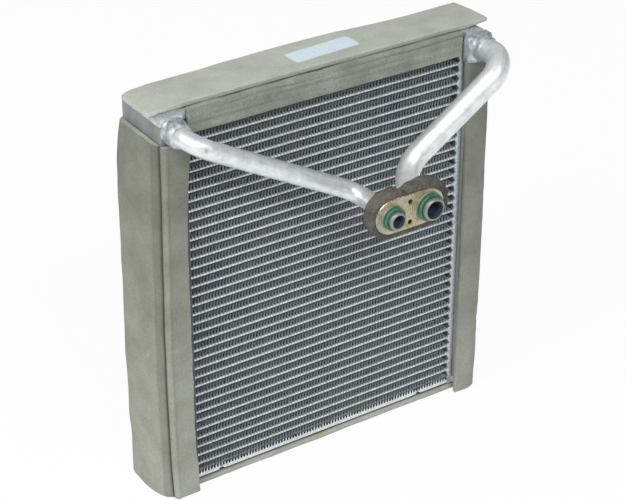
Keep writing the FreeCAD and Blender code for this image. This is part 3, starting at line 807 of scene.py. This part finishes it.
def flat_sheet(length, width, thick, corner, edge, step=3.0, step_across=3.0):
    """Closed sheet on a grid: corners follow a quarter circle, and both faces drop towards the rim as
    one. Returns its points and faces."""
    a, b = np.meshgrid(edge_lines(length, edge, step), edge_lines(width, edge, step_across))
    rim_a, rim_b = np.minimum(a, length - a), np.minimum(b, width - b)
    rim = np.maximum(edge - np.minimum(rim_a, rim_b), 0)
    drop = edge - np.sqrt(np.maximum(edge ** 2 - rim ** 2, 0))
    x, y = rim_a / corner, rim_b / corner
    u, v = 1 - np.minimum(x, 1), 1 - np.minimum(y, 1)
    inset_x, inset_y = 1 - u * np.sqrt(1 - v * v / 2), 1 - v * np.sqrt(1 - u * u / 2)
    near_x, near_y = np.where(x < 1, inset_x, x) * corner, np.where(y < 1, inset_y, y) * corner
    a = np.where(a < length / 2, near_x, length - near_x)
    b = np.where(b < width / 2, near_y, width - near_y)
    points = np.stack([joined(a, b, thick - drop), joined(a, b, drop)])
    quads = grid_faces(*a.shape, wrap=False)
    number = np.arange(a.size).reshape(a.shape)
    ring = np.concatenate([number[0], number[1:, -1], number[-1, -2::-1], number[-2:0:-1, 0]])
    after = np.roll(ring, -1)
    rim = joined(ring, ring + a.size, after + a.size, after)
    return points, [quads, quads[:, ::-1] + a.size, rim]


# %% Top foam and label
TOP_LEVEL = 288.1
TOP_THICK = 3.5
TOP_LENGTH, TOP_DEPTH = 259.5, 38.0
TOP_LEFT, TOP_FRONT, TOP_BACK = -129.0, -17.5, 20.5
CAP_TOP, CAP_ROUND, CAP_BEND_X = 284.3, 5.0, 120.5
BACK_CORNER = 7.0
LABEL_LENGTH, LABEL_DEPTH, LABEL_THICK = 50.3, 15.3, 0.2
LABEL_X, LABEL_Y, LABEL_TURN = 9.5, 0.6, math.radians(2.7)


def top_level(x, y):
    """Height of the top foam's upper side: it hangs over the rounded end of the left tank, and its
    back edge sinks by 1 to 3 mm towards both ends."""
    end = np.interp(x, [-129, -124, -118, -108], [2.4, 1.6, 0.8, 0.0])
    back = np.interp(x, [-110, -75, -55, -10, 30, 62, 90, 120],
                     [1.4, 1.0, 0.4, 0.0, 0.0, 1.7, 2.6, 2.0])
    back = back * np.clip((y + 6) / 26, 0, 1) ** 1.5
    return TOP_LEVEL - end - back + 0.12 * ripple(x, y, 22, 35) * (1 - hump(x, 9, 34))


def top_foam():
    """Sheet that rests on the rounded caps of the tanks, is pressed thinner where they carry it, and
    tapers at its right end."""
    points, groups = flat_sheet(TOP_LENGTH, TOP_DEPTH, TOP_THICK, 1.8, 0.7)
    y = points[..., 1] + TOP_FRONT
    past = np.clip(y - (TOP_BACK - BACK_CORNER), 0, BACK_CORNER)
    x = np.maximum(points[..., 0], BACK_CORNER - np.sqrt(BACK_CORNER ** 2 - past ** 2)) + TOP_LEFT
    y = y + 0.35 * ripple(x, 0, 21, 60)
    left_end = np.clip((-120 - x) / 9, 0, 1)
    y = y + 2.2 * left_end ** 1.5 * np.clip(y / TOP_FRONT, 0, 1)
    level = top_level(x, y)
    round_part = CAP_ROUND ** 2 - np.maximum(np.abs(x) - CAP_BEND_X, 0) ** 2
    cap = CAP_TOP - CAP_ROUND + np.sqrt(np.maximum(round_part, 0))
    low = np.maximum(level - TOP_THICK, np.where(round_part > 0, cap + 0.1, 0))
    low = low + 1.2 * np.clip((x - 112) / 18, 0, 1) + 0.8 * left_end
    z = low + (level - low) * points[..., 2] / TOP_THICK
    return add_piece("top_foam_sheet", joined(x, y, z), groups, [top_foam_skin], "top_foam")


def label_sheet():
    """Thin sticker with rounded corners, turned a little, that follows the foam under it."""
    points, groups = flat_sheet(LABEL_LENGTH, LABEL_DEPTH, LABEL_THICK, 2.0, 0.08, 1.5, 1.5)
    cos, sin = math.cos(LABEL_TURN), math.sin(LABEL_TURN)
    a, b = points[..., 0] - LABEL_LENGTH / 2, points[..., 1] - LABEL_DEPTH / 2
    x, y = LABEL_X + a * cos - b * sin, LABEL_Y + a * sin + b * cos
    return add_piece("white_sticker", joined(x, y, top_level(x, y) + points[..., 2] + 0.02), groups,
                     [label_skin], "label")


# %% Front strip and bottom strip
# Long creases of the front strip as (height, depth, width)
CREASES = [(283.0, 0.7, 0.7), (278.4, 0.4, 1.0), (274.4, 0.35, 1.2)]
STRIP_LENGTH, STRIP_HEIGHT, STRIP_THICK = 210.4, 17.5, 4.0
STRIP_LOW, STRIP_BACK = 268.8, -20.3
BASE_LENGTH, BASE_DEPTH, BASE_THICK = 251.0, 40.0, 4.5


def top_front_foam():
    """Strip on the front of the top plate, with long creases whose height wanders and whose depth
    comes and goes."""
    points, groups = flat_sheet(STRIP_LENGTH, STRIP_HEIGHT, STRIP_THICK, 1.0, 0.8, 2.0, 0.35)
    x, z = points[..., 0] - STRIP_LENGTH / 2, points[..., 1] + STRIP_LOW
    swell = 0.35 * ripple(x * 0.05, z, 31, 5.0) + 0.15 * ripple(x, z, 32, 14)
    # dark is painted shade in the creases, heaviest where they are deepest
    dark = 0.0
    for i, (height, depth, width) in enumerate(CREASES):
        line = hump(z, height + 0.7 * ripple(x, 0, 35 + i, 70), width)
        line = line * np.clip(0.7 + 0.5 * ripple(x, 0, 45 + i, 30), 0.1, 1)
        swell = swell - depth * line
        dark = dark + 0.4 * depth * line
    y = STRIP_BACK - points[..., 2] - swell * (points[..., 2] / STRIP_THICK)
    z = z + 0.3 * ripple(x, 0, 34, 40) * np.clip((z - 280) / 6, 0, 1)
    return add_piece("top_front_foam_strip", joined(x, y, z), groups, [strip_foam_skin],
                     "top_front_foam", shade_and_scars=np.clip(dark, 0, 0.8))


def bottom_foam():
    """Sheet under the core, pressed thinner along its front edge, which stands a little forward, and
    dark behind it in the shadow of the channel."""
    points, groups = flat_sheet(BASE_LENGTH, BASE_DEPTH, BASE_THICK, 1.0, 0.5, step_across=1.2)
    x, y, z = points[..., 0] - BASE_LENGTH / 2, points[..., 1] - BASE_DEPTH / 2, points[..., 2]
    z = z * (1 - 0.26 * hump(y, -20, 3))
    y = y + 0.25 * ripple(x, 0, 41, 50)
    # Painted shadow: a dark band on the top face just behind the thinner front edge, under the
    # channel
    dark = 0.95 * (z > 2.9) * np.clip((y + 18.9) / 0.4, 0, 1) * np.clip((-12 - y) / 2, 0, 1)
    y = y - 1.5 * np.clip((-y - 14) / 6, 0, 1)
    for knock, width in KNOCKS:
        y = y + 0.8 * hump(x, knock, width) * (y < 0)
    return add_piece("bottom_foam_sheet", joined(x, y, z), groups, [base_foam_skin], "bottom_foam",
                     shade_and_scars=dark)


report(top_foam(), label_sheet(), top_front_foam(), bottom_foam())

# %% [markdown]
# ### Folded side foams
#
# Each side foam is a flat sheet folded round a tank, with a lip on the front, a panel on the side
# and a lip on the back. It was cut half through where it folds, which leaves a groove. The panels
# bulge away from the tanks.

# %% Folded foam
SHEET_THICK = 3.8
TANK_X, TANK_Y = 125.55, 24.55
FRONT_RADIUS = 2.2
LIP_POINTS = 22
FOLD_PAST = 1.2
GROOVE_HALF = 3.3


def section_lines(lip_x, front_x, back_x, back_radius):
    """Middle line of the folded sheet at each height, from lip edge to lip edge, with its outward
    normals. The panel leans out to its full bulge by a fourth power, like a pillow."""
    mid = SHEET_THICK / 2
    flat = TANK_Y + 0.2 + mid
    lip = np.concatenate([np.linspace(0, 0.7, 9), np.linspace(0.7, 1, 15)[1:-1]])
    turn = np.linspace(0, np.pi / 2, 14)
    panel = np.concatenate([np.linspace(0, 0.12, 16), np.linspace(0.12, 1, 34)[1:]])[1:-1]
    parts = []
    for panel_x, radius, way in ((front_x, FRONT_RADIUS, -1), (back_x, back_radius, 1)):
        cx, cy = panel_x + mid - radius, flat - radius
        parts.append(np.concatenate([
            joined(lip_x + (cx - lip_x) * lip, way * flat, 0, way),
            joined(cx + radius * np.sin(turn), way * (cy + radius * np.cos(turn)), np.sin(turn),
                   way * np.cos(turn))], 1))
    front, back = parts
    low, high = front[:, -1:, 1], back[:, -1:, 1]
    lean = front_x + (back_x - front_x) * (1 - (1 - panel) ** 4)
    side = joined(lean + mid, low + (high - low) * panel, 1, 0)
    return np.moveaxis(np.concatenate([front, side, back[:, ::-1]], 1), 2, 0)


def clear_of_tank(x, y, nx, ny):
    """Moves points that lie inside the tank out along their normals until they reach its side."""
    inside = (x < TANK_X) & (np.abs(y) < TANK_Y)
    step_x = (TANK_X - x) / np.maximum(nx, 1e-3)
    step_y = (TANK_Y - np.abs(y)) / np.maximum(np.abs(ny), 1e-3)
    step = np.where(inside, np.minimum(step_x, step_y), 0)
    return x + nx * step, y + ny * step


def folded_foam(name, node, side, top, edge, fold_out, bulge, back_radius, groove, seed, step_z=None,
                worn=([0, 267], [0, 0])):
    """Grid of heights by a closed section. Top is the height over |x|. Tables of places and values
    over the height give the lip's edge, how far the front fold and the panel stand out, the back
    radius, and how far the fold is pressed in. The groove is a V along the fold, and beside it lies
    a band of crushed foam."""
    share = np.concatenate([[0, 0.001, 0.0035], np.linspace(0.0075, 0.9925, 130), [0.9965, 0.999, 1]])
    z = share * top[1][-1]
    mid = SHEET_THICK / 2
    lip, fold_x, panel, radius = [np.interp(z, *table)[:, None]
                                  for table in (edge, fold_out, bulge, back_radius)]
    lip = lip + 0.25 * ripple(z[:, None], 0, seed + 2, 22)
    x, y, nx, ny = section_lines(lip, TANK_X + 0.05 + fold_x, TANK_X + 0.05 + panel, radius)
    high = share[:, None] * np.interp(x[-1], *top)
    along = np.concatenate([[0], np.cumsum(np.hypot(np.diff(x[60]), np.diff(y[60])))])
    fold = along[LIP_POINTS + 6] + FOLD_PAST
    wave = 0.22 * ripple(along, high, seed, 45) + 0.12 * ripple(along, high, seed + 1, 16)
    if step_z:
        wave = wave + 0.4 * np.tanh((step_z - high) / 1.2) * hump(along, fold, 9)
    wave = wave - np.interp(high, *worn) * hump(along, fold - FOLD_PAST, 5)
    away = np.abs(along - fold)
    band = np.clip((along - fold) / 0.6, 0, 1) * np.clip((7.0 - along + fold) / 2.4, 0, 1)
    band = groove / 3 * band
    cut = groove * np.clip(1 - away / GROOVE_HALF, 0, 1)
    ridge = 0.15 * groove * hump(away, GROOVE_HALF + 0.8, 1.2) - 0.5 * band
    rim = np.minimum(np.minimum(high, high[-1:] - high), 0.8)
    soften = 0.35 * (1 - np.sqrt(np.maximum(1 - (1 - rim / 0.8) ** 2, 0)))
    out = mid + wave - cut + ridge - soften
    outer = joined(x + nx * out, y + ny * out, high)
    inner = clear_of_tank(x - nx * (mid - soften), y - ny * (mid - soften), nx, ny)
    reach, lift = np.array([-0.42, -0.6, -0.42]), np.array([0.75, 0.0, -0.75]) * mid
    back_tip, front_tip = [joined(x[:, at] + reach, y[:, at] + lift, high[:, at])
                           for at in (slice(-1, None), slice(0, 1))]
    points = np.concatenate([outer, back_tip, joined(*inner, high)[:, ::-1], front_tip], 1)
    points[..., 0] *= side
    stations, columns = points.shape[:2]
    n = len(along)
    # Painted shade darkens the groove along the fold; the band of crushed foam beside it is darker
    # too
    shade_and_scars = np.zeros((stations, columns))
    shade_and_scars[:, :n] = groove / 3 * 1.2 * hump(away, 0, 1.1) + 0.3 * band
    pair = np.arange(n - 1)
    low = joined(pair, pair + 1, 2 * n + 1 - pair, 2 * n + 2 - pair)
    tips = np.array([np.arange(n - 1, n + 4), np.arange(columns - 4, columns + 1) % columns])
    last = (stations - 1) * columns
    walls = grid_faces(stations, columns)
    groups = [np.concatenate([walls, low[:, ::-1], low + last]),
              np.concatenate([tips[:, ::-1], tips + last])]
    return add_piece(name, points, groups, [side_foam_skin, cut_foam_skin], node,
                     np.repeat([0, 1], [len(walls), 2 * len(low) + 4]),
                     shade_and_scars=np.clip(shade_and_scars, 0, 0.95))


left = folded_foam(
    "left_foam_wrap", "left_foam", -1,
    top=([105.5, 108.3, 117.6, 126.6, 129.4], [261.7, 262.6, 264.9, 266.4, 267.5]),
    edge=([0, 20, 45, 70, 185, 207, 228, 246, 264],
          [108.9, 109.6, 110.9, 111.2, 111.2, 110.9, 110.2, 109.0, 107.3]),
    fold_out=([0, 8, 35, 96, 130, 246, 267], [0.4, 0.8, 1.7, 2.3, 2.2, 0.0, 0.0]),
    bulge=([0, 30, 55, 96, 128, 150, 206, 239, 257, 267],
           [6.4, 5.2, 5.2, 5.7, 5.4, 4.7, 4.5, 4.2, 2.4, 0.2]),
    back_radius=([0, 40, 267], [14.0, 10.0, 10.0]), groove=3.0, seed=51)
right = folded_foam(
    "right_foam_wrap", "right_foam", 1, top=([105.5, 130], [264.0, 264.0]),
    edge=([0, 105, 200, 240, 264], [108.0, 109.2, 109.3, 107.6, 107.0]),
    fold_out=([0, 105, 264], [0.0, 0.9, 0.0]), bulge=([0, 105, 264], [0.0, 0.9, 0.0]),
    back_radius=([0, 264], [2.6, 2.6]), groove=0.8, seed=61, step_z=56,
    worn=([0, 12, 31, 52, 62, 100, 195, 264], [3.2, 3.2, 2.4, 2.6, 2.0, 1.5, 1.3, 0.8]))
report(left, right)

# %% [markdown]
# ### Foam round the block
#
# A strip of coarse foam is wrapped once round the block. Its ends meet at the top, where it is
# pinched thin, and it stands up in a lobe on each side.

# %% Wrapped strip
WRAP_FRONT, WRAP_DEPTH, WRAP_THICK, WRAP_CORNER = -85.8, 9.0, 3.8, 1.0
WRAP_GAP = 0.3
INLET_WRAP_R, OUTLET_WRAP_R = 12.5, 12.3
SLIT_X, SLIT_HALF = 11.5, 0.25


def wrap_line():
    """Middle of the wrap's inner side from one side of the slit to the other: at each station a
    circle's centre, the angle round it and its radius."""
    spacing = OUTLET_X - INLET_X
    start = np.linspace(0, 1, 22)
    turn = np.linspace(np.pi / 2, -np.pi / 2, 60)
    cx = np.concatenate([
        (SLIT_X + SLIT_HALF + (spacing - SLIT_X - SLIT_HALF) * start)[:-1], np.full(60, spacing),
        spacing * (1 - np.linspace(0, 1, 36)[1:-1]), np.zeros(60),
        ((SLIT_X - SLIT_HALF) * start)[1:]])
    angle = np.concatenate([np.full(21, np.pi / 2), turn, np.full(34, -np.pi / 2), turn - np.pi,
                            np.full(21, -3 * np.pi / 2)])
    radius = INLET_WRAP_R + (OUTLET_WRAP_R - INLET_WRAP_R) * cx / spacing + WRAP_GAP
    return cx[:, None], angle[:, None], radius[:, None]


def block_wrap():
    """Rounded section carried round two circles and their tangents, thin at the slit and under the
    block, with an uneven torn face."""
    cx, angle, radius = wrap_line()
    corner, side = WRAP_CORNER, WRAP_THICK - WRAP_CORNER
    quarter = np.linspace(0, np.pi / 2, 6)
    cos, sin = np.cos(quarter) * corner, np.sin(quarter) * corner
    off, back = np.concatenate([
        joined(np.linspace(0, side, 5)[:-1], 0), joined(side + cos[::-1], corner - sin[::-1])[:-1],
        joined(WRAP_THICK, np.linspace(corner, WRAP_DEPTH - corner, 12)),
        joined(side + cos, WRAP_DEPTH - corner + sin)[1:],
        joined(0, np.linspace(WRAP_DEPTH, WRAP_DEPTH * 0.25, 4))]).T
    outline = np.hypot(np.diff(cx + radius * np.cos(angle), axis=0),
                       np.diff(radius * np.sin(angle), axis=0))
    along = np.concatenate([[[0]], np.cumsum(outline, 0)])
    rest = along[-1] - along
    low = np.maximum(-np.sin(angle), 0) ** 2
    thick = 1 - 0.75 * hump(np.minimum(along, rest), 0, 3.0) - 0.25 * low
    thick = thick + 0.4 * hump(along, 18, 10) + 0.15 * hump(rest, 8, 5)
    rough = 0.25 * ripple(along, back, 71, 3.2) + 0.3 * ripple(along, back, 72, 9)
    push = off * thick + rough * (off > 0.1)
    y = WRAP_FRONT + back - 0.3 * ripple(along, off, 73, 4.5) * (back < 1)
    points = joined(INLET_X + cx + (radius + push) * np.cos(angle), y,
                    PORT_Z + (radius + push) * np.sin(angle))
    size = points.shape[:2]
    return add_piece("block_foam_wrap", points, [grid_faces(*size), end_faces(*size)],
                     [wrap_foam_skin], "block_seal", angle=50)


report(block_wrap())

# %% [markdown]
# ## Floor, light and camera
#
# The core stands on a white floor in soft studio light: a large lamp to the left brightens the tops
# and the left side, a smaller one in front lays the soft shadow of the pipes on the core, and white
# surroundings fill the rest.

# %% Floor
FLOOR_REACH, FLOOR_Z, GLOW_SHARE = 6.0, -0.0004, 0.93


def studio_floor():
    """White plane just under the foam. To the eye most of it is plain light of strength 1, so it
    stays white, and the rest takes light and shadow."""
    material, add, where = new_material("white_studio_floor")
    clouds = add("TexNoise", {"Vector": where, "Scale": 1.1})
    colour = add("ValToRGB", {"Fac": clouds}, [(0.3, "#FAFAFA"), (0.7, "#FFFFFF")])
    matt = add("BsdfDiffuse", {"Color": colour})
    glow = add("Emission", {"Color": "#FFFFFF", "Strength": 1.0})
    ray = add("LightPath", {}).outputs
    seen = ray["Is Camera Ray"]
    for kind in ("Is Glossy Ray", "Is Transmission Ray"):
        seen = add("Math", {0: seen, 1: ray[kind]}, operation="MAXIMUM")
    part = add("Math", {0: seen, 1: GLOW_SHARE}, operation="MULTIPLY")
    add("OutputMaterial", {"Surface": add("MixShader", {0: part, 1: matt, 2: glow})})
    mesh = bpy.data.meshes.new("studio_floor")
    corners = [(-1, -1), (1, -1), (1, 1), (-1, 1)]
    mesh.from_pydata([(FLOOR_REACH * x, FLOOR_REACH * y, FLOOR_Z) for x, y in corners], [],
                     [(0, 1, 2, 3)])
    mesh.materials.append(material)
    floor = new_object("studio_floor", mesh)
    floor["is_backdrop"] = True
    return floor


report(studio_floor())


# %% Light
AIM = (0, 0, 0.15)


def area_lamp(name, place, size, watts):
    """Soft square lamp at a place in metres, turned to face the core."""
    lamp = bpy.data.lights.new(name, "AREA")
    lamp.size = size
    lamp.energy = watts
    holder = new_object(name, lamp)
    way = unit(np.subtract(AIM, place))
    side = unit(np.cross(way, [0, 0, 1.0]))
    turn = np.stack([side, np.cross(side, way), -way], 1)
    holder.matrix_world = Matrix.Translation(place) @ Matrix(turn.tolist()).to_4x4()
    return holder


lamps = [area_lamp("left_softbox", (-1.6, -0.5, 1.6), 1.2, 30),
         area_lamp("front_softbox", (-0.2, -1.8, 1.75), 0.7, 16.6)]

world = bpy.data.worlds.new("white_studio")
bpy.context.scene.world = world
world.use_nodes = True
surroundings = world.node_tree.nodes["Background"].inputs
surroundings["Color"].default_value = linear("#FFFFFF")
surroundings["Strength"].default_value = 0.4
print("lamps:", [lamp.name for lamp in lamps])

# %% Camera
# The view was fitted to the straight edges of the core: turned to the left of the front by 33
# degrees, looking down by 30 degrees, from 1.4 m away
PLACE = (-0.63361, -0.97094, 0.81308)
TURN, RISE, ROLL = math.radians(-33.1867), math.radians(30.0821), math.radians(-0.0943)
camera_data = bpy.data.cameras.new("camera")
camera_data.sensor_width = 36.0
camera_data.lens = 113.223
camera_data.clip_end = 30
camera = new_object("camera", camera_data)
camera.matrix_world = (Matrix.Translation(PLACE)
                       @ Matrix.Rotation(TURN, 4, "Z")
                       @ Matrix.Rotation(math.pi / 2 - RISE, 4, "X")
                       @ Matrix.Rotation(ROLL, 4, "Z"))
bpy.context.scene.camera = camera
bpy.context.scene.view_settings.view_transform = "Standard"
print("camera at", PLACE)

# %% Sizes
dressed_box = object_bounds()
for name, box in (("cad", cad_box), ("visual", dressed_box)):
    print(name, "box in mm", [[round(float(v) / MM, 1) for v in c] for c in box])
